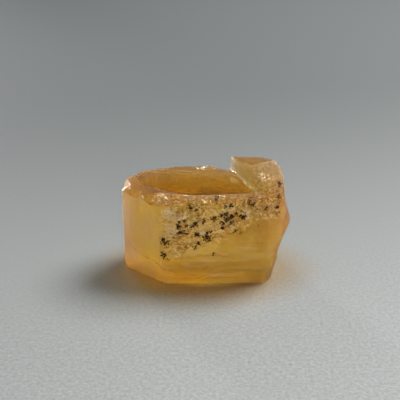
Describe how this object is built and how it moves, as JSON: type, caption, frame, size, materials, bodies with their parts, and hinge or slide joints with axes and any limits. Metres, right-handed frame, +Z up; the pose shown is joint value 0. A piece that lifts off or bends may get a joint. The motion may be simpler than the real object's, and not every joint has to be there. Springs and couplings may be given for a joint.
{
  "type": "imperial topaz crystal",
  "caption": "Rough, cloudy honey-orange topaz crystal with a flat cleaved top, a taller stub at one end, a pitted front face and a flat base to rest on.",
  "frame": {"origin": "middle of the bounding box's base, on the surface that the crystal rests on", "axes": "+X along the crystal's width towards the taller stub, +Y from the pitted front to the back, +Z up along the crystal's c axis"},
  "size_m": [0.0204, 0.0102, 0.0134],
  "materials": {
    "topaz": "translucent honey-orange stone: glassy on the cleaved top, frosted on the grown faces, with dark iron-oxide specks in the pitted front"
  },
  "bodies": {
    "root": {"topaz_crystal": "topaz"}
  },
  "joints": []
}
